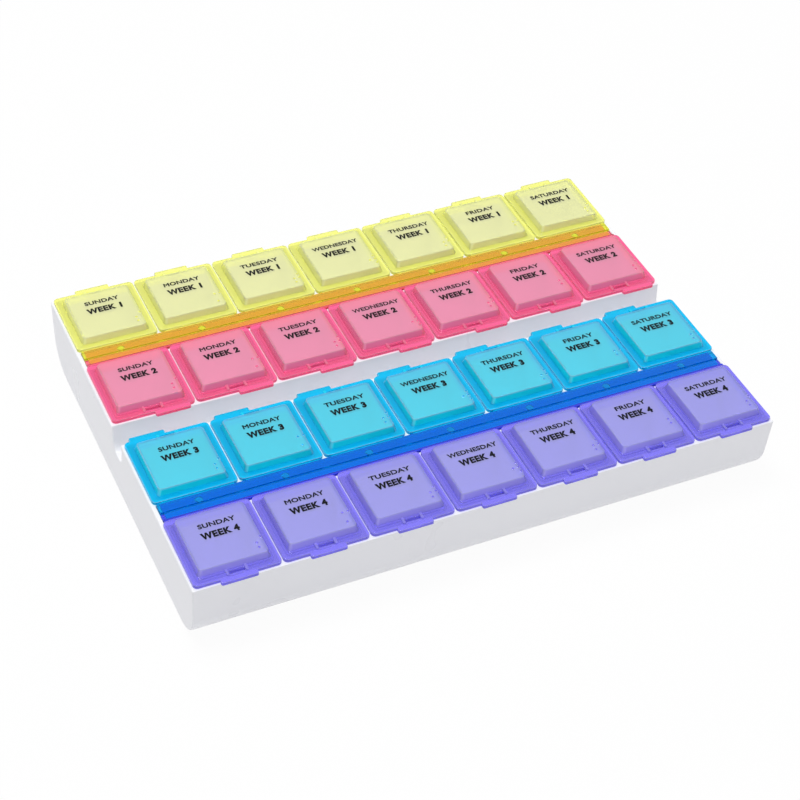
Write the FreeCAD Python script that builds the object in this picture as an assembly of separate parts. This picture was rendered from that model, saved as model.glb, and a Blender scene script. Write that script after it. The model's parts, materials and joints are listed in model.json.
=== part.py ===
import FreeCAD, Part
import math
import os

# A month of pill boxes: one white tray, four coloured weeks of seven lids.
# Sizes are in millimetres. X runs along a week from Sunday to Saturday,
# Y runs from the front (week 4) to the back (week 1), and Z is up.

# Grid of days and weeks
days = ["sunday", "monday", "tuesday", "wednesday", "thursday", "friday", "saturday"]
cell = 32.85  # one day, along the week
lid_depth = 33.0  # from a lid's hinge edge to its free edge
lid_gap = 0.6  # daylight between neighbouring lids
hinge_strip = 9.5  # between the hinge edges of two facing weeks
valley = 11.9  # between the free edges of weeks 2 and 3
end_ledge = 0.5  # the tray reaches past the grid of days at both ends

# Tray
tray_height = 28.9
wall = 1.6  # outer walls, floors and decks
divider = 2.0  # wall between two days
rim_ledge = 0.6  # the rim reaches past the lid's free edge by this much
front_draft = 2.0  # lean of the walls on the free side, over their height
hinge_draft = 1.0  # lean of the walls on the hinge side
trough_radius = 13.5  # outer radius of a trough's bottom corners
valley_depth = 10.5
valley_draft = 0.9
valley_radius = 3.8
end_edge_radius = 0.6
deck_drop = 1.3  # the decks between facing weeks lie this far below the rim

# Lids
lid_lift = 0.2  # clearance between rim and lid
flange_thick = 1.3
flange_corner = 1.8
flange_edge_radius = 0.35
box_rise = 2.7  # the raised box stands this far above the flange
box_side_margin = 2.6  # flange beside the box
box_hinge_margin = 2.3
box_free_margin = 3.4
box_slope = 0.9  # run of the sloped sides, seen from above
box_corner = 1.6
box_edge_radius = 0.45
box_wall = 1.0
skirt_clearance = 0.7  # locating skirt to the pocket walls
skirt_wall = 0.9
skirt_drop = 1.2

# Lift tabs, level with the flange
tab_width = 13.6
tab_reach = 1.8  # past the flange's free edge
tab_shift = 6.9  # sideways, on the two inner weeks, so that facing tabs pass
tab_end_radius = 0.7

# Latches
window_width = 5.8
window_depth = 1.2
rib_width = 1.0  # small ribs beside the window, from the box to the tab
rib_rise = 0.5
rib_gap = 0.1  # from the window to a rib
tongue_top_width = 5.6
tongue_tip_width = 4.0
tongue_thick = 1.1
tongue_drop = 3.0  # below the flange
bead_rise = 0.6
bead_height = 1.2
bead_drop = 1.9  # from the flange to the bead's centre
tongue_clearance = 1.5  # from the tongue's outer face to the pocket wall

# Hinges and the rails that hold the weeks
hinge_gap = 0.4  # bridged by the thin moulded web
pivot_drop = 0.7  # from the flange's top down to the bending line
web_half = 0.1  # the rail's top above the bending line
rail_end_gap = 0.25
rail_step_in = 1.3  # the overlapping leaves stop short of the rail's ends
rail_meet = 4.7  # where the two rails' bars meet, from the lower week's lids
rail_bar_gap = 0.3
rail_leaf = 0.6  # the lower rail's leaf under the upper bar
rail_flap = 0.4  # the upper rail's leaf over the lower bar
rail_flap_step = 0.4  # the flap's top below the upper bar's top
rail_lip = 0.9  # the lower rail's raised edge beside its lids
rail_play = 0.1  # between stacked leaves
peg_radius = 1.2
peg_hole_clearance = 0.05
peg_pass_clearance = 0.3  # upper peg through the lower leaf
peg_reach = 0.9  # below the deck
lower_peg_place = 2.7  # from the lower week's lids
upper_peg_place = 7.0

# Worked out from the sizes above
half_length = cell * len(days) / 2 + end_ledge
inner_hinge = valley / 2 + lid_depth
outer_hinge = inner_hinge + hinge_strip
half_width = outer_hinge + lid_depth + rim_ledge
deck_top = tray_height - deck_drop
flange_bottom = tray_height + lid_lift
flange_top = flange_bottom + flange_thick
pivot_z = flange_top - pivot_drop
rail_top = pivot_z + web_half
pocket_far = lid_depth + rim_ledge - wall
tongue_face = pocket_far - tongue_clearance

# Each week: its hinge line, the way its lids reach, and its tabs' shift
weeks = {
    1: {"hinge": outer_hinge, "way": 1, "tab": 0.0},
    2: {"hinge": inner_hinge, "way": -1, "tab": -tab_shift},
    3: {"hinge": -inner_hinge, "way": 1, "tab": -tab_shift},
    4: {"hinge": -outer_hinge, "way": -1, "tab": 0.0},
}


def vec(x, y, z):
    return FreeCAD.Vector(x, y, z)


def day_x(index):
    return (index + 0.5 - len(days) / 2) * cell


def box(low, high):
    size = [b - a for a, b in zip(low, high)]
    return Part.makeBox(size[0], size[1], size[2], vec(*low))


def peg(x, y, low, high, radius):
    return Part.makeCylinder(radius, high - low, vec(x, y, low))


def rounded_wire(points, radii):
    # Closed wire through the points, with each corner turned by an arc.
    turns = []
    for i, corner in enumerate(points):
        back = points[i - 1] - corner
        ahead = points[(i + 1) % len(points)] - corner
        back.normalize()
        ahead.normalize()
        half = back.getAngle(ahead) / 2
        reach = radii[i] / math.tan(half)
        inward = back + ahead
        inward.normalize()
        middle = corner + inward * (radii[i] / math.sin(half) - radii[i])
        turns.append((corner + back * reach, middle, corner + ahead * reach))
    edges = []
    for i, turn in enumerate(turns):
        start = turns[i - 1][2]
        edges.append(Part.LineSegment(start, turn[0]).toShape())
        if radii[i] > 0:
            edges.append(Part.Arc(*turn).toShape())
    return Part.Wire(edges)


def prism_along_x(outline, radii, start, end):
    points = [vec(start, y, z) for y, z in outline]
    return Part.Face(rounded_wire(points, radii)).extrude(vec(end - start, 0, 0))


def plate_wire(low, high, radius, z):
    # Rounded rectangle lying flat at height z.
    corners = [vec(low[0], low[1], z), vec(high[0], low[1], z),
               vec(high[0], high[1], z), vec(low[0], high[1], z)]
    return rounded_wire(corners, [radius] * 4)


def plate(low, high, radius, bottom, top):
    return Part.Face(plate_wire(low, high, radius, bottom)).extrude(vec(0, 0, top - bottom))


def round_level_edges(shape, z, radius):
    # Rounds every edge that lies level at height z.
    chosen = [edge for edge in shape.Edges
              if abs(edge.BoundBox.ZMin - z) < 1e-6 and abs(edge.BoundBox.ZMax - z) < 1e-6]
    return shape.makeFillet(radius, chosen)


def fuse_all(shapes):
    return shapes[0].multiFuse(shapes[1:]).removeSplitter()


def place(shape, x, week):
    # Moves a lid's own frame (u across, v from the hinge) to its place in the month.
    moved = shape.copy()
    if weeks[week]["way"] < 0:
        moved.rotate(vec(0, 0, 0), vec(0, 0, 1), 180)
    moved.translate(vec(x, weeks[week]["hinge"], 0))
    return moved


# Tray

def trough_outline(inset, top):
    # Section across one week, in v and z. No inset gives the outside of the
    # trough, and an inset of one wall gives the pocket.
    fall = (tray_height - inset) / tray_height
    near = inset
    far = lid_depth + rim_ledge - inset
    low_near = near + hinge_draft * fall
    low_far = far - front_draft * fall
    outline = [(near, top), (near, tray_height), (low_near, inset),
               (low_far, inset), (far, tray_height), (far, top)]
    radius = trough_radius - inset
    return outline, [0, 0, radius, radius, 0, 0]


def pocket_span(index):
    # Between two dividers, or between a divider and an end wall.
    reach = (cell - divider) / 2
    low = day_x(index) - reach
    high = day_x(index) + reach
    if index == 0:
        low = wall - half_length
    if index == len(days) - 1:
        high = half_length - wall
    return low, high


def in_row(outline, week):
    hinge, way = weeks[week]["hinge"], weeks[week]["way"]
    return [(hinge + way * v, z) for v, z in outline]


def trough(week):
    outline, radii = trough_outline(0, tray_height)
    del outline[1], radii[1]
    del outline[-2], radii[-2]
    inside = half_length - wall
    return prism_along_x(in_row(outline, week), radii, -inside, inside)


def pocket(week, index):
    outline, radii = trough_outline(wall, tray_height + wall)
    return prism_along_x(in_row(outline, week), radii, *pocket_span(index))


def end_plate(side):
    # Flat end of the tray with its outer edges rounded.
    low_width = half_width - front_draft
    lip = valley / 2 - rim_ledge
    groove = tray_height - valley_depth
    outline = [(-half_width, tray_height), (-low_width, 0), (low_width, 0),
               (half_width, tray_height), (lip, tray_height), (lip - valley_draft, groove),
               (valley_draft - lip, groove), (-lip, tray_height)]
    radii = [0, trough_radius, trough_radius, 0, 0, valley_radius, valley_radius, 0]
    outer = side * half_length
    shape = prism_along_x(outline, radii, outer - side * wall, outer)
    rim = [edge for edge in shape.Edges
           if abs(edge.BoundBox.XMin - outer) < 1e-6 and abs(edge.BoundBox.XMax - outer) < 1e-6]
    return shape.makeFillet(end_edge_radius, rim)


def valley_web():
    # The wall between weeks 2 and 3, with the rounded valley in its top.
    lip = valley / 2 - rim_ledge
    groove = tray_height - valley_depth
    inside = half_length - wall
    block = box((-inside, -lip - wall, groove - wall), (inside, lip + wall, tray_height))
    outline = [(lip, tray_height + wall), (lip, tray_height), (lip - valley_draft, groove),
               (valley_draft - lip, groove), (-lip, tray_height), (-lip, tray_height + wall)]
    radii = [0, 0, valley_radius, valley_radius, 0, 0]
    return block.cut(prism_along_x(outline, radii, -half_length, half_length))


def deck(low_y):
    # Bridge between two facing weeks, which carries their rails.
    inside = half_length - wall
    return box((-inside, low_y - wall / 2, deck_top - wall),
               (inside, low_y + hinge_strip + wall / 2, deck_top))


def tray():
    body = [trough(week) for week in weeks]
    body += [end_plate(-1), end_plate(1), valley_web(), deck(inner_hinge), deck(-outer_hinge)]
    shape = fuse_all(body)
    cutters = []
    for week in weeks:
        for index in range(len(days)):
            cutters.append(pocket(week, index))
    for low_y in (inner_hinge, -outer_hinge):
        for index in range(len(days)):
            for place_y in (lower_peg_place, upper_peg_place):
                cutters.append(peg(day_x(index), low_y + place_y, deck_top - 2 * wall,
                                   deck_top + wall, peg_radius + peg_hole_clearance))
    return shape.cut(cutters).removeSplitter()


# Rails

def rail_span(step_in):
    reach = half_length - wall - rail_end_gap - step_in
    return -reach, reach


def lower_rail(low_y):
    # Bar beside its own lids, a raised lip, and a leaf under the upper bar.
    bar_top = rail_top - rail_flap_step - rail_flap - rail_play
    near = low_y + hinge_gap
    left, right = rail_span(0)
    leaf_left, leaf_right = rail_span(rail_step_in)
    far = low_y + hinge_strip - hinge_gap
    pieces = [
        box((left, near, deck_top), (right, low_y + rail_meet - rail_bar_gap / 2, bar_top)),
        box((left, near, deck_top), (right, near + rail_lip, rail_top)),
        box((leaf_left, near, deck_top), (leaf_right, far, deck_top + rail_leaf)),
    ]
    for index in range(len(days)):
        pieces.append(peg(day_x(index), low_y + lower_peg_place, deck_top - wall - peg_reach,
                          bar_top, peg_radius))
    shape = fuse_all(pieces)
    holes = [peg(day_x(index), low_y + upper_peg_place, deck_top - wall, deck_top + wall,
                 peg_radius + peg_pass_clearance) for index in range(len(days))]
    return shape.cut(holes)


def upper_rail(low_y):
    # Bar beside its own lids, and a thin flap over the lower rail's bar.
    left, right = rail_span(0)
    flap_left, flap_right = rail_span(rail_step_in)
    far = low_y + hinge_strip - hinge_gap
    bar_bottom = deck_top + rail_leaf + rail_play
    bar_near = low_y + rail_meet + rail_bar_gap / 2
    flap_near = low_y + hinge_gap + rail_lip + rail_bar_gap
    flap_top = rail_top - rail_flap_step
    pieces = [
        box((left, bar_near, bar_bottom), (right, far, rail_top)),
        box((flap_left, flap_near, flap_top - rail_flap), (flap_right, far, flap_top)),
    ]
    for index in range(len(days)):
        pieces.append(peg(day_x(index), low_y + upper_peg_place, deck_top - wall - peg_reach,
                          rail_top, peg_radius))
    return fuse_all(pieces)


# Lids, drawn in their own frame: u across, v from the hinge edge, z as placed

def flange(shift):
    # Thin plate with rounded corners, and the lift tab past its free edge.
    half = (cell - lid_gap) / 2
    sheet = plate((-half, 0), (half, lid_depth), flange_corner, flange_bottom, flange_top)
    tab = plate((shift - tab_width / 2, lid_depth - 2 * tab_end_radius),
                (shift + tab_width / 2, lid_depth + tab_reach), tab_end_radius,
                flange_bottom, flange_top)
    return round_level_edges(fuse_all([sheet, tab]), flange_top, flange_edge_radius)


def box_plan(shrink):
    # Plan of the raised box at its foot: low corner, high corner, corner radius.
    half = (cell - lid_gap) / 2 - box_side_margin - shrink
    low = (-half, box_hinge_margin + shrink)
    high = (half, lid_depth - box_free_margin - shrink)
    return low, high, max(box_corner - shrink, 0.3 * box_corner)


def raised_box(shrink, top):
    # Sloped box between two rounded rectangles, from the flange up.
    low, high, corner = box_plan(shrink)
    run = box_slope * (top - flange_top) / box_rise
    foot = plate_wire(low, high, corner, flange_top)
    head = plate_wire((low[0] + run, low[1] + run), (high[0] - run, high[1] - run), corner, top)
    return Part.makeLoft([foot, head], True, True)


def box_hollow():
    # The space under the raised box, down through the flange and the skirt.
    low, high, corner = box_plan(box_wall)
    well = plate(low, high, corner, flange_bottom - skirt_drop, flange_top)
    return well.fuse(raised_box(box_wall, flange_top + box_rise - box_wall))


def skirt():
    # Low wall under the flange that centres the lid in its pocket.
    half = cell / 2 - wall - skirt_clearance
    near = wall + skirt_clearance
    far = tongue_face
    bottom = flange_bottom - skirt_drop
    ring = plate((-half, near), (half, far), box_corner, bottom, flange_bottom)
    inner = plate((skirt_wall - half, near + skirt_wall), (half - skirt_wall, far - skirt_wall),
                  box_corner - skirt_wall / 2, bottom, flange_bottom)
    return ring.cut(inner)


def tongue():
    # Tapered latch tongue with a bead across its outer face.
    tip = flange_bottom - tongue_drop
    inner = tongue_face - tongue_thick
    wide, narrow = tongue_top_width / 2, tongue_tip_width / 2
    corners = [vec(-wide, inner, flange_bottom), vec(-narrow, inner, tip),
               vec(narrow, inner, tip), vec(wide, inner, flange_bottom)]
    blade = Part.Face(rounded_wire(corners, [0, narrow / 2, narrow / 2, 0]))
    blade = blade.extrude(vec(0, tongue_thick, 0))
    bead_z = flange_bottom - bead_drop
    ridge = [vec(-narrow, tongue_face, bead_z - bead_height / 2),
             vec(-narrow, tongue_face + bead_rise, bead_z),
             vec(-narrow, tongue_face, bead_z + bead_height / 2)]
    bead = Part.Face(Part.makePolygon(ridge + ridge[:1])).extrude(vec(2 * narrow, 0, 0))
    return blade.fuse(bead)


def window_rib(side):
    # Raised bar beside the window. Its root lies inside the box's sloped wall.
    near = side * (window_width / 2 + rib_gap)
    far = near + side * rib_width
    root = lid_depth - box_free_margin - box_slope / 2
    return box((min(near, far), root, flange_bottom),
               (max(near, far), tongue_face + window_depth + rib_width / 2,
                flange_top + rib_rise))


def lid(shift):
    top = flange_top + box_rise
    shell = round_level_edges(raised_box(0, top), top, box_edge_radius)
    solid = fuse_all([flange(shift), shell, window_rib(-1), window_rib(1), skirt(), tongue()])
    keep = box((-window_width / 2, tongue_face - tongue_thick, flange_bottom - skirt_drop),
               (window_width / 2, tongue_face, flange_top))
    window = box((-window_width / 2, tongue_face, flange_bottom - flange_thick),
                 (window_width / 2, tongue_face + window_depth, flange_top + flange_thick))
    return solid.cut(box_hollow().cut(keep)).cut(window).removeSplitter()


os.makedirs("parts", exist_ok=True)
pieces = {
    "tray": tray(),
    "rail_week_1": upper_rail(inner_hinge),
    "rail_week_2": lower_rail(inner_hinge),
    "rail_week_3": upper_rail(-outer_hinge),
    "rail_week_4": lower_rail(-outer_hinge),
}
for week, row in weeks.items():
    pattern = lid(row["tab"])
    for index, day in enumerate(days):
        pieces["lid_week_%d_%s" % (week, day)] = place(pattern, day_x(index), week)

for name, shape in pieces.items():
    shape.exportStep("parts/%s.step" % name)

tallest = max(shape.BoundBox.ZMax for shape in pieces.values())
print("length %.1f, width %.1f, height %.1f" % (2 * half_length, 2 * half_width, tallest))
print("pieces %d, all single solids: %s"
      % (len(pieces), all(len(shape.Solids) == 1 for shape in pieces.values())))
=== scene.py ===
import bmesh
import bpy
import json
from math import cos, radians, sin
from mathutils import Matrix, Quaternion, Vector

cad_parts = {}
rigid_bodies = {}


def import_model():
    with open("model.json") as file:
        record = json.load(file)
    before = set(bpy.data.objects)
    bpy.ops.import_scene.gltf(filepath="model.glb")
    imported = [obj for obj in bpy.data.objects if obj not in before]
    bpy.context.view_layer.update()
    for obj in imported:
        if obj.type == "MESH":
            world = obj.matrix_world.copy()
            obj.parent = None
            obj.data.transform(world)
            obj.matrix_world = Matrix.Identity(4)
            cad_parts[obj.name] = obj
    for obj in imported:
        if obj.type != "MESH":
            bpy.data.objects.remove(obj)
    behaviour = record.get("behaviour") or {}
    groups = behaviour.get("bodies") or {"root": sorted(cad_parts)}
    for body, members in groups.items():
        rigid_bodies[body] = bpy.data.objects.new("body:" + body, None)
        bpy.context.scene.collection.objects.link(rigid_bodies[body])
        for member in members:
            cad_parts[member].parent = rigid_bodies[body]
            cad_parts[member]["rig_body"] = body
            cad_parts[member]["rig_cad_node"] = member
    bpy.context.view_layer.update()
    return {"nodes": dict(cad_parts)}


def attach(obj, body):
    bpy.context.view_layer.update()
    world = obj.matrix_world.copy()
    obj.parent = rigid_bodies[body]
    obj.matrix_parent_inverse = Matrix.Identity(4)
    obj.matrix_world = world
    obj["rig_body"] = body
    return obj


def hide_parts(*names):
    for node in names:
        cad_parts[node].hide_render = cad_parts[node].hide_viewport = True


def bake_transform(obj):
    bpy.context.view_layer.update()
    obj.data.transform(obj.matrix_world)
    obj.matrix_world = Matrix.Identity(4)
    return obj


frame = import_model()
mm = 0.001

dayNames = ["sunday", "monday", "tuesday", "wednesday", "thursday", "friday", "saturday"]
weekNumbers = [1, 2, 3, 4]
slotOfWeek = {1: "yellow_clear", 2: "pink_clear", 3: "cyan_clear", 4: "violet_clear"}

columns = {"cell": 32.85 * mm, "middle": 3}      # one day's width, and the day in the middle
rows = {                                         # pegs: how far behind the hinge edge they stand
    1: {"hinge": 48.45 * mm, "way": 1, "pegs": 2.5 * mm},
    2: {"hinge": 38.95 * mm, "way": -1, "pegs": 2.7 * mm},
    3: {"hinge": -38.95 * mm, "way": 1, "pegs": 2.5 * mm},
    4: {"hinge": -48.45 * mm, "way": -1, "pegs": 2.7 * mm},
}


# Small helpers

def selectNothing():
    bpy.ops.object.select_all(action="DESELECT")


def onlySelect(piece):
    selectNothing()
    piece.select_set(True)
    bpy.context.view_layer.objects.active = piece


def applyModifiers(piece):
    onlySelect(piece)
    for modifier in list(piece.modifiers):
        bpy.ops.object.modifier_apply(modifier=modifier.name)


def bakePlace(piece):
    # put the place into the mesh, so the object sits at the origin
    onlySelect(piece)
    bpy.ops.object.transform_apply(location=True, rotation=True, scale=True)


def setMaterial(piece, material):
    piece.data.materials.clear()
    piece.data.materials.append(material)
    for face in piece.data.polygons:
        face.material_index = 0


def joined(pieces):
    onlySelect(pieces[0])
    for piece in pieces[1:]:
        piece.select_set(True)
    bpy.ops.object.join()
    return bpy.context.object


def extents(piece):
    # lowest and highest place of the mesh along x, y and z
    places = [vertex.co for vertex in piece.data.vertices]
    return [(min(along), max(along)) for along in zip(*places)]


def lidName(week, day):
    return "lid_week_%d_%s" % (week, day)


def pieceName(kind, week, day):
    return "%sWeek%d%s" % (kind, week, day.capitalize())


def dayCentre(index):
    return (index - columns["middle"]) * columns["cell"]


# Moulded plastics

grainLook = {"detail": 3.0, "distance": 0.1 * mm, "patches": 45.0, "patchDetail": 2.0}


def nodesOf(name):
    material = bpy.data.materials.new(name)
    material.use_nodes = True
    tree = material.node_tree
    return material, tree, tree.nodes["Principled BSDF"]


def mouldedSurface(tree, shader, look):
    # fine moulded grain in the bump, and slow patches in the roughness
    place = tree.nodes.new("ShaderNodeTexCoord")
    grain = tree.nodes.new("ShaderNodeTexNoise")
    grain.inputs["Scale"].default_value = look["grain"]
    grain.inputs["Detail"].default_value = grainLook["detail"]
    bump = tree.nodes.new("ShaderNodeBump")
    bump.inputs["Strength"].default_value = look["height"]
    bump.inputs["Distance"].default_value = grainLook["distance"]
    patches = tree.nodes.new("ShaderNodeTexNoise")
    patches.inputs["Scale"].default_value = grainLook["patches"]
    patches.inputs["Detail"].default_value = grainLook["patchDetail"]
    spread = tree.nodes.new("ShaderNodeMapRange")
    spread.inputs["To Min"].default_value = look["smoothest"]
    spread.inputs["To Max"].default_value = look["roughest"]
    tree.links.new(place.outputs["Object"], grain.inputs["Vector"])
    tree.links.new(place.outputs["Object"], patches.inputs["Vector"])
    tree.links.new(grain.outputs["Fac"], bump.inputs["Height"])
    tree.links.new(bump.outputs["Normal"], shader.inputs["Normal"])
    tree.links.new(patches.outputs["Fac"], spread.inputs["Value"])
    tree.links.new(spread.outputs["Result"], shader.inputs["Roughness"])
    return {"place": place, "patches": patches}


whitePlastic = {"light": (0.86, 0.865, 0.90, 1), "shade": (0.82, 0.825, 0.87, 1),
                "grain": 900.0, "height": 0.08, "smoothest": 0.24, "roughest": 0.34,
                "scatter": 0.15, "scatterDepth": 2 * mm}


def whiteTrayPlastic():
    material, tree, shader = nodesOf("whiteTrayPlastic")
    surface = mouldedSurface(tree, shader, whitePlastic)
    ramp = tree.nodes.new("ShaderNodeValToRGB")
    ramp.color_ramp.elements[0].color = whitePlastic["shade"]
    ramp.color_ramp.elements[1].color = whitePlastic["light"]
    tree.links.new(surface["patches"].outputs["Fac"], ramp.inputs["Fac"])
    tree.links.new(ramp.outputs["Color"], shader.inputs["Base Color"])
    shader.inputs["Subsurface Weight"].default_value = whitePlastic["scatter"]
    shader.inputs["Subsurface Radius"].default_value = [whitePlastic["scatterDepth"]] * 3
    return material


# the box's sides get a lighter colour as painted light and the dots a deeper one as painted shade;
# rim, panel and rail are the plastic's own tints
clearTints = {
    "yellow_clear": {
        "rim": (0.97, 0.97, 0.38, 1), "paintedLitSlope": (1.0, 1.0, 0.60, 1),
        "panel": (0.98, 0.98, 0.78, 1), "dot": (0.80, 0.80, 0.12, 1),
        "rail": (0.98, 0.97, 0.25, 1), "passes": (0.90, 0.93, 0.0, 1),
        "lidDensity": 330.0, "railDensity": 650.0,
    },
    "pink_clear": {
        "rim": (0.98, 0.25, 0.49, 1), "paintedLitSlope": (1.0, 0.44, 0.64, 1),
        "panel": (0.98, 0.60, 0.73, 1), "dot": (0.82, 0.08, 0.28, 1),
        "rail": (0.98, 0.65, 0.62, 1), "passes": (0.98, 0.0, 0.425, 1),
        "lidDensity": 430.0, "railDensity": 620.0,
    },
    "cyan_clear": {
        "rim": (0.004, 0.68, 0.96, 1), "paintedLitSlope": (0.02, 0.95, 1.0, 1),
        "panel": (0.27, 0.87, 0.97, 1), "dot": (0.0, 0.40, 0.75, 1),
        "rail": (0.0, 0.72, 0.98, 1), "passes": (0.0, 0.80, 0.937, 1),
        "lidDensity": 650.0, "railDensity": 1300.0,
    },
    "violet_clear": {
        "rim": (0.42, 0.38, 0.97, 1), "paintedLitSlope": (0.60, 0.56, 1.0, 1),
        "panel": (0.68, 0.70, 0.98, 1), "dot": (0.22, 0.18, 0.78, 1),
        "rail": (0.28, 0.40, 0.98, 1), "passes": (0.08, 0.0, 0.8875, 1),
        "lidDensity": 400.0, "railDensity": 650.0,
    },
}
clearSurface = {"grain": 600.0, "height": 0.02, "smoothest": 0.08, "roughest": 0.14,
                "lidShare": 0.70, "railShare": 0.94, "bending": 1.49, "shine": 0.25,
                "paintedHighlightShare": 0.5, "flangeTop": 30.4 * mm, "dotTop": 33.4 * mm}
# where each tint, with the painted light on the box's sides and the painted shade on the dots,
# stands between flange top and dot top, and how much painted highlight a surface gets between
# facing sideways and facing up
tintAndPaintedLightStops = (("rim", 0.035), ("paintedLitSlope", 0.09), ("paintedLitSlope", 0.65), ("panel", 0.74),
             ("panel", 0.905), ("dot", 0.94))
# painted highlight: how far the rounded edges are lightened, by how far their normals face up
paintedHighlightStops = ((0.0, 0.38), (1.0, 0.48), (1.0, 0.86), (0.0, 0.95))


def lightPasses(tree):
    # 1 for rays from lamps and from lit surfaces, which the thin plastic lets straight through
    ray = tree.nodes.new("ShaderNodeLightPath")
    either = tree.nodes.new("ShaderNodeMath")
    either.operation = "MAXIMUM"
    tree.links.new(ray.outputs["Is Shadow Ray"], either.inputs[0])
    tree.links.new(ray.outputs["Is Diffuse Ray"], either.inputs[1])
    return either.outputs["Value"]


def stopRamp(tree, stops):
    ramp = tree.nodes.new("ShaderNodeValToRGB")
    while len(ramp.color_ramp.elements) < len(stops):
        ramp.color_ramp.elements.new(1.0)
    for element, (color, position) in zip(ramp.color_ramp.elements, stops):
        element.position = position
        element.color = color
    return ramp


def tintAndPaintedLightByHeight(tree, place, tints):
    # deep in the flange, pale and milky on the panel; painted light makes the box's sides lighter,
    # and painted shade makes the dots deeper and darker
    height = tree.nodes.new("ShaderNodeSeparateXYZ")
    raised = tree.nodes.new("ShaderNodeMapRange")
    raised.inputs["From Min"].default_value = clearSurface["flangeTop"]
    raised.inputs["From Max"].default_value = clearSurface["dotTop"]
    skin = stopRamp(tree, [(tints[name], position) for name, position in tintAndPaintedLightStops])
    tree.links.new(place.outputs["Object"], height.inputs["Vector"])
    tree.links.new(height.outputs["Z"], raised.inputs["Value"])
    tree.links.new(raised.outputs["Result"], skin.inputs["Fac"])
    return skin.outputs["Color"]


def paintedEdgeHighlight(tree, place, skin):
    # painted highlight: the base colour is lightened toward white on the rounded upper edges,
    # which face outward and up
    facing = tree.nodes.new("ShaderNodeSeparateXYZ")
    greys = [((shade, shade, shade, 1), position) for shade, position in paintedHighlightStops]
    highlightMask = stopRamp(tree, greys)
    share = tree.nodes.new("ShaderNodeMath")
    share.operation = "MULTIPLY"
    share.inputs[1].default_value = clearSurface["paintedHighlightShare"]
    lit = tree.nodes.new("ShaderNodeMix")
    lit.data_type = "RGBA"
    lit.inputs["B"].default_value = (1, 1, 1, 1)
    tree.links.new(place.outputs["Normal"], facing.inputs["Vector"])
    tree.links.new(facing.outputs["Z"], highlightMask.inputs["Fac"])
    tree.links.new(highlightMask.outputs["Color"], share.inputs[0])
    tree.links.new(share.outputs["Value"], lit.inputs["Factor"])
    tree.links.new(skin, lit.inputs["A"])
    return lit.outputs["Result"]


def clearPlastic(slot, part, share, density, glint):
    # clear plastic that is darker where it is thick; its skin's tint is set by the caller
    material, tree, shader = nodesOf(slot.replace("_clear", "Clear") + part)
    surface = mouldedSurface(tree, shader, clearSurface)
    depth = tree.nodes.new("ShaderNodeVolumeAbsorption")
    depth.inputs["Color"].default_value = clearTints[slot]["passes"]
    depth.inputs["Density"].default_value = density
    opening = tree.nodes.new("ShaderNodeBsdfTransparent")
    mix = tree.nodes.new("ShaderNodeMixShader")
    output = tree.nodes["Material Output"]
    tree.links.new(lightPasses(tree), mix.inputs["Fac"])
    tree.links.new(shader.outputs["BSDF"], mix.inputs[1])
    tree.links.new(opening.outputs["BSDF"], mix.inputs[2])
    tree.links.new(mix.outputs["Shader"], output.inputs["Surface"])
    tree.links.new(depth.outputs["Volume"], output.inputs["Volume"])
    shader.inputs["Transmission Weight"].default_value = share
    shader.inputs["IOR"].default_value = clearSurface["bending"]
    shader.inputs["Specular IOR Level"].default_value = clearSurface["shine"]
    shader.inputs["Specular Tint"].default_value = glint
    return material, tree, shader, surface["place"]


def clearLidPlastic(slot):
    tints = clearTints[slot]
    material, tree, shader, place = clearPlastic(slot, "Lid", clearSurface["lidShare"],
                                                 tints["lidDensity"], tints["paintedLitSlope"])
    # painted light on the lid's skin: lighter sides and darker dots by height, and a painted
    # highlight on the rounded edges
    skin = paintedEdgeHighlight(tree, place, tintAndPaintedLightByHeight(tree, place, tints))
    tree.links.new(skin, shader.inputs["Base Color"])
    return material


def clearRailPlastic(slot):
    tints = clearTints[slot]
    material, tree, shader, place = clearPlastic(slot, "Rail", clearSurface["railShare"],
                                                 tints["railDensity"], tints["rail"])
    shader.inputs["Base Color"].default_value = tints["rail"]
    return material


blackInk = {"color": (0.004, 0.004, 0.005, 1), "shine": 0.08,
            "grain": 1500.0, "height": 0.05, "smoothest": 0.35, "roughest": 0.5}


def printingInk():
    material, tree, shader = nodesOf("blackPrintingInk")
    mouldedSurface(tree, shader, blackInk)
    shader.inputs["Base Color"].default_value = blackInk["color"]
    shader.inputs["Specular IOR Level"].default_value = blackInk["shine"]
    return material


lidPlastics = {slot: clearLidPlastic(slot) for slot in clearTints}
railPlastics = {slot: clearRailPlastic(slot) for slot in clearTints}
trayPlastic = whiteTrayPlastic()
ink = printingInk()
print("materials ready")


# Mouldings taken over from the frame, with softened edges

moulding = {"weld": 0.002 * mm, "flat": radians(1.0), "sharp": radians(32.0), "segments": 2,
            "traySoft": 0.25 * mm, "clearSoft": 0.12 * mm}


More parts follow.
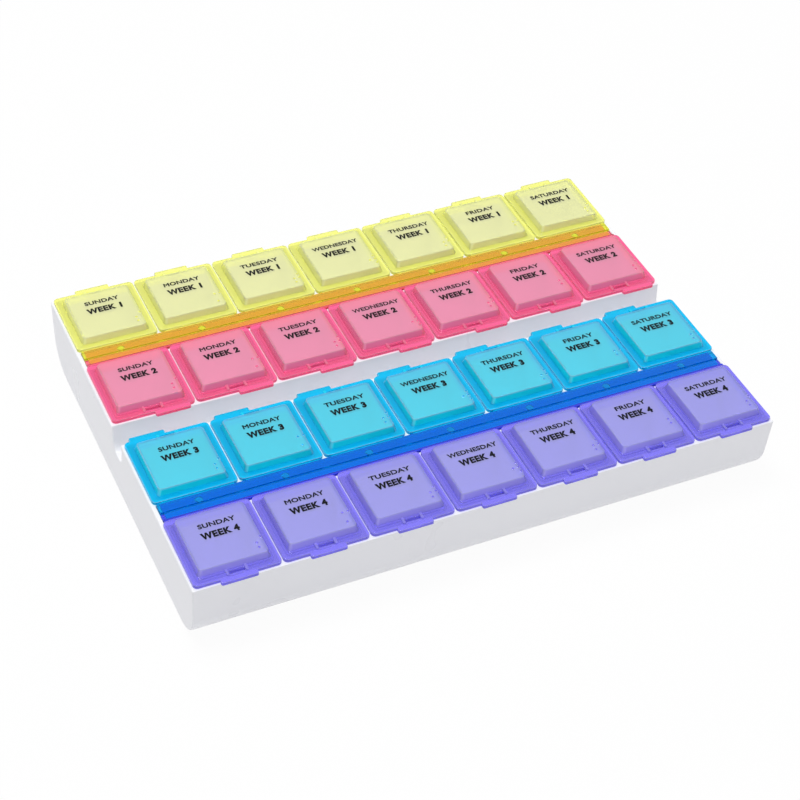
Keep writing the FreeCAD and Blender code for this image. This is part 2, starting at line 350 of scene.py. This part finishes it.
def softMoulding(node, softness, material):
    # copy of a frame's solid, with rounded edges and its new plastic
    source = frame["nodes"][node]
    piece = source.copy()
    piece.data = source.data.copy()
    for key in ("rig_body", "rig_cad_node"):       # the copy isn't a solid of the frame
        if key in piece:
            del piece[key]
    piece.parent = None
    bpy.context.scene.collection.objects.link(piece)
    onlySelect(piece)
    bpy.ops.object.mode_set(mode="EDIT")
    bpy.ops.mesh.select_all(action="SELECT")
    bpy.ops.mesh.remove_doubles(threshold=moulding["weld"])
    bpy.ops.mesh.dissolve_limited(angle_limit=moulding["flat"])
    bpy.ops.object.mode_set(mode="OBJECT")
    soft = piece.modifiers.new("softEdges", "BEVEL")
    soft.width = softness
    soft.segments = moulding["segments"]
    soft.limit_method = "ANGLE"
    soft.angle_limit = moulding["sharp"]
    applyModifiers(piece)
    bpy.ops.object.shade_smooth_by_angle(angle=moulding["sharp"])
    even = piece.modifiers.new("evenNormals", "WEIGHTED_NORMAL")
    even.keep_sharp = True
    applyModifiers(piece)
    setMaterial(piece, material)
    return piece


def standsFor(piece, newName, node):
    # the piece takes a frame solid's place and body, and the solid is hidden
    piece.name = newName
    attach(piece, frame["nodes"][node]["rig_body"])
    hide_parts(node)


# rails are cut at flush, and the floors in the deck's peg holes reach from low to high
pegs = {"flush": 27.61 * mm, "radius": 1.3 * mm, "low": 26.05 * mm, "high": 27.5 * mm, "sides": 24}


def flushRail(node, material):
    # the rail without its pegs, closed just above the deck
    rail = softMoulding(node, moulding["clearSoft"], material)
    shape = bmesh.new()
    shape.from_mesh(rail.data)
    cut = bmesh.ops.bisect_plane(shape, geom=shape.verts[:] + shape.edges[:] + shape.faces[:],
                                 plane_co=(0, 0, pegs["flush"]), plane_no=(0, 0, 1),
                                 clear_inner=True)
    rim = [edge for edge in cut["geom_cut"] if isinstance(edge, bmesh.types.BMEdge)]
    bmesh.ops.triangle_fill(shape, use_beauty=True, edges=rim)
    bmesh.ops.recalc_face_normals(shape, faces=shape.faces)
    shape.to_mesh(rail.data)
    shape.free()
    return rail


def pegFloor(index, row):
    # white plug in one peg hole of the deck
    selectNothing()
    place = (dayCentre(index), row["hinge"] - row["way"] * row["pegs"],
             (pegs["high"] + pegs["low"]) / 2)
    bpy.ops.mesh.primitive_cylinder_add(vertices=pegs["sides"], radius=pegs["radius"],
                                        depth=pegs["high"] - pegs["low"], location=place)
    plug = bpy.context.object
    bakePlace(plug)
    return plug


def closedTray():
    # the tray, with a floor in each of the deck's peg holes
    pieces = [softMoulding("tray", moulding["traySoft"], trayPlastic)]
    for index in range(len(dayNames)):
        for week in weekNumbers:
            pieces.append(pegFloor(index, rows[week]))
    tray = joined(pieces)
    setMaterial(tray, trayPlastic)
    return tray


standsFor(closedTray(), "whiteTray", "tray")
for week in weekNumbers:
    railNode = "rail_week_%d" % week
    rail = flushRail(railNode, railPlastics[slotOfWeek[week]])
    standsFor(rail, "railWeek%d" % week, railNode)
print("tray and rails ready")


# Lids: raised dots, printing and webs

panel = {"top": 33.1 * mm, "centre": 15.95 * mm}
# places are measured from the panel's middle, and dots are numbered down one column, then the next
dots = {"width": 1.4 * mm, "rise": 0.36 * mm, "sunk": 0.04 * mm, "left": 10.0 * mm,
        "right": 12.15 * mm, "top": -5.6 * mm, "pitch": 2.3 * mm, "perColumn": 3,
        "segments": 16, "rings": 10}
dotLetters = {"s": (2, 3, 4), "m": (1, 3, 4), "t": (2, 3, 4, 5), "w": (2, 4, 5, 6),
              "f": (1, 2, 4)}


def panelCentre(week, day):
    # middle of a lid's raised panel, seen from above
    row = rows[week]
    return dayCentre(dayNames.index(day)), row["hinge"] + row["way"] * panel["centre"]


def raisedDots(week, day):
    # the day's first letter in raised dots, as domes that stand in the panel
    centreX, centreY = panelCentre(week, day)
    domes = []
    for number in dotLetters[day[0]]:
        across = dots["left"] if number <= dots["perColumn"] else dots["right"]
        along = dots["top"] - (number - 1) % dots["perColumn"] * dots["pitch"]
        place = (centreX + across, centreY + along, panel["top"] - dots["sunk"])
        selectNothing()
        bpy.ops.mesh.primitive_uv_sphere_add(segments=dots["segments"], ring_count=dots["rings"],
                                             radius=dots["width"] / 2, location=place)
        dome = bpy.context.object
        dome.scale = (1, 1, 2 * dots["rise"] / dots["width"])
        bakePlace(dome)
        domes.append(dome)
    letter = joined(domes)
    letter.name = pieceName("dots", week, day)
    bpy.ops.object.shade_smooth()
    setMaterial(letter, lidPlastics[slotOfWeek[week]])
    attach(letter, lidName(week, day))


# block is half the letters' depth before they are flattened, as a share of their cap height
printing = {"day": {"height": 2.25 * mm, "rise": 5.2 * mm, "shift": 0.5 * mm,
                    "bold": 0.13 * mm, "spacing": 1.06},
            "week": {"height": 3.2 * mm, "rise": -0.05 * mm, "shift": 0.2 * mm,
                     "bold": 0.27 * mm, "spacing": 1.2, "width": 14.1 * mm},
            "layer": 0.02 * mm, "smoothness": 3, "block": 0.2}
dayWidths = {"sunday": 13.8 * mm, "monday": 14.8 * mm, "tuesday": 16.0 * mm,
             "wednesday": 19.7 * mm, "thursday": 17.9 * mm, "friday": 12.8 * mm,
             "saturday": 17.9 * mm}


def printedLine(words, look, width, centre):
    # one printed line: its strokes are thickened evenly, and it has its own cap height and width
    selectNothing()
    bpy.ops.object.text_add()
    line = bpy.context.object
    line.data.body = words
    line.data.resolution_u = printing["smoothness"]
    line.data.extrude = printing["block"]
    line.data.space_character = look["spacing"]
    onlySelect(line)
    bpy.ops.object.convert(target="MESH")
    line = bpy.context.object
    thinWidth = width - 2 * look["bold"]
    thinHeight = look["height"] - 2 * look["bold"]
    (left, right), (foot, head) = extents(line)[:2]
    line.scale = (thinWidth / (right - left), thinHeight / (head - foot), thinHeight)
    bakePlace(line)
    bpy.ops.object.mode_set(mode="EDIT")
    bpy.ops.mesh.select_all(action="SELECT")
    bpy.ops.mesh.remove_doubles(threshold=moulding["weld"])
    bpy.ops.transform.shrink_fatten(value=look["bold"], use_even_offset=True)
    bpy.ops.object.mode_set(mode="OBJECT")
    (left, right), (foot, head), (low, high) = extents(line)
    line.scale = (width / (right - left), look["height"] / (head - foot),
                  2 * printing["layer"] / (high - low))
    line.location = (centre[0] + look["shift"] - (left + right) / 2 * line.scale[0],
                     centre[1] + look["rise"] - foot * line.scale[1],
                     panel["top"] - (low + high) / 2 * line.scale[2])
    bakePlace(line)
    return line


def printedLid(week, day):
    # weekday above, week below, half sunk in the panel
    centre = panelCentre(week, day)
    dayLine = printedLine(day.upper(), printing["day"], dayWidths[day], centre)
    weekLine = printedLine("WEEK %d" % week, printing["week"], printing["week"]["width"], centre)
    words = joined([dayLine, weekLine])
    words.name = pieceName("printing", week, day)
    setMaterial(words, ink)
    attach(words, lidName(week, day))


# start and end are measured from the lid's hinge edge toward its panel
web = {"half": 14.2 * mm, "start": -0.45 * mm, "end": 0.12 * mm, "thick": 0.2 * mm,
       "pivot": 29.7 * mm, "cuts": 5, "gap": 0.4 * mm}


def hingeWeb(week, day):
    # thin web between a rail and its lid
    centreX = dayCentre(dayNames.index(day))
    row = rows[week]
    near = row["hinge"] + row["way"] * web["start"]
    far = row["hinge"] + row["way"] * web["end"]
    selectNothing()
    bpy.ops.mesh.primitive_cube_add(size=1, location=(centreX, (near + far) / 2, web["pivot"]))
    strip = bpy.context.object
    strip.scale = (2 * web["half"], abs(far - near), web["thick"])
    bakePlace(strip)
    bpy.ops.object.mode_set(mode="EDIT")
    bpy.ops.mesh.select_all(action="DESELECT")
    bpy.ops.object.mode_set(mode="OBJECT")
    for edge in strip.data.edges:                # only the edges that run from rail to lid
        first, second = [strip.data.vertices[index].co for index in edge.vertices]
        edge.select = abs(first.y - second.y) > web["thick"]
    bpy.ops.object.mode_set(mode="EDIT")
    bpy.ops.mesh.select_mode(type="EDGE")
    bpy.ops.mesh.subdivide(number_cuts=web["cuts"])
    bpy.ops.object.mode_set(mode="OBJECT")
    strip.name = pieceName("web", week, day)
    setMaterial(strip, lidPlastics[slotOfWeek[week]])
    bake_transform(strip)


def weekOfLids(week):
    # one softened lid, repeated along the week
    slot = slotOfWeek[week]
    pattern = softMoulding(lidName(week, dayNames[0]), moulding["clearSoft"], lidPlastics[slot])
    lids = [pattern]
    for step in range(1, len(dayNames)):
        onlySelect(pattern)
        bpy.ops.object.duplicate()
        lid = bpy.context.object
        lid.location.x = step * columns["cell"]
        bakePlace(lid)
        lids.append(lid)
    for lid, day in zip(lids, dayNames):
        standsFor(lid, pieceName("lid", week, day), lidName(week, day))


for week in weekNumbers:
    weekOfLids(week)
    for day in dayNames:
        raisedDots(week, day)
        printedLid(week, day)
        hingeWeb(week, day)
    print("week %d ready" % week)


# Floor, light and camera

floorLook = {"size": 6.0, "below": 0.05 * mm, "color": (0.80, 0.80, 0.805, 1), "rough": 0.85,
             "shown": 0.95}
worldLook = {"color": (1.0, 1.0, 1.0, 1), "light": 0.5, "shown": 1.0}
lamps = {"overheadSoftbox": {"place": (-0.25, 0.25, 1.65), "size": 0.7, "power": 18.5},
         "frontFill": {"place": (0.3, -1.3, 0.9), "size": 1.2, "power": 2.8}}


def seenDirectly(tree):
    # 1 where a view, a reflection or clear plastic shows a backdrop, 0 where it gives light
    ray = tree.nodes.new("ShaderNodeLightPath")
    total = ray.outputs["Is Camera Ray"]
    for name in ("Is Glossy Ray", "Is Transmission Ray"):
        more = tree.nodes.new("ShaderNodeMath")
        more.operation = "MAXIMUM"
        tree.links.new(total, more.inputs[0])
        tree.links.new(ray.outputs[name], more.inputs[1])
        total = more.outputs["Value"]
    return total


def addFloor():
    selectNothing()
    bpy.ops.mesh.primitive_plane_add(size=floorLook["size"], location=(0, 0, -floorLook["below"]))
    floor = bpy.context.object
    floor.name = "paleFloor"
    material, tree, shader = nodesOf("paleFloorPaint")
    shader.inputs["Base Color"].default_value = floorLook["color"]
    shader.inputs["Roughness"].default_value = floorLook["rough"]
    glow = tree.nodes.new("ShaderNodeEmission")
    share = tree.nodes.new("ShaderNodeMath")
    share.operation = "MULTIPLY"
    share.inputs[1].default_value = floorLook["shown"]
    mix = tree.nodes.new("ShaderNodeMixShader")
    tree.links.new(seenDirectly(tree), share.inputs[0])
    tree.links.new(share.outputs["Value"], mix.inputs["Fac"])
    tree.links.new(shader.outputs["BSDF"], mix.inputs[1])
    tree.links.new(glow.outputs["Emission"], mix.inputs[2])
    tree.links.new(mix.outputs["Shader"], tree.nodes["Material Output"].inputs["Surface"])
    setMaterial(floor, material)


def addLamp(name, look):
    # square soft light that is aimed at the origin
    bpy.ops.object.light_add(type="AREA", location=look["place"])
    lamp = bpy.context.object
    lamp.name = name
    lamp.data.size = look["size"]
    lamp.data.energy = look["power"]
    lamp.rotation_mode = "QUATERNION"
    lamp.rotation_quaternion = (-Vector(look["place"])).to_track_quat("-Z", "Y")


def addWorld():
    world = bpy.data.worlds.new("softStudio")
    bpy.context.scene.world = world
    world.use_nodes = True
    tree = world.node_tree
    strength = tree.nodes.new("ShaderNodeMapRange")
    strength.inputs["To Min"].default_value = worldLook["light"]
    strength.inputs["To Max"].default_value = worldLook["shown"]
    tree.links.new(seenDirectly(tree), strength.inputs["Value"])
    tree.links.new(strength.outputs["Result"], tree.nodes["Background"].inputs["Strength"])
    tree.nodes["Background"].inputs["Color"].default_value = worldLook["color"]


view = {"turn": 26.58, "tilt": 42.41, "roll": 3.53, "distance": 731.2 * mm,
        "target": (-11.61 * mm, -21.42 * mm, 30.4 * mm), "lens": 87.92, "sensor": 36.0,
        "nearest": 0.01, "farthest": 20.0}


def addCamera():
    # where the photo was taken from, as fitted to the object's corners
    turn, tilt = radians(view["turn"]), radians(view["tilt"])
    ahead = Vector((sin(turn) * cos(tilt), cos(turn) * cos(tilt), -sin(tilt)))
    aim = ahead.to_track_quat("-Z", "Y") @ Quaternion((0, 0, 1), radians(view["roll"]))
    bpy.ops.object.camera_add(location=Vector(view["target"]) - view["distance"] * ahead)
    camera = bpy.context.object
    camera.name = "studioCamera"
    camera.rotation_mode = "QUATERNION"
    camera.rotation_quaternion = aim
    camera.data.lens = view["lens"]
    camera.data.sensor_width = view["sensor"]
    camera.data.clip_start = view["nearest"]
    camera.data.clip_end = view["farthest"]
    bpy.context.scene.camera = camera


addFloor()
addWorld()
for name, look in lamps.items():
    addLamp(name, look)
addCamera()
bpy.context.scene.view_settings.view_transform = "Standard"
print("floor, light and camera ready")
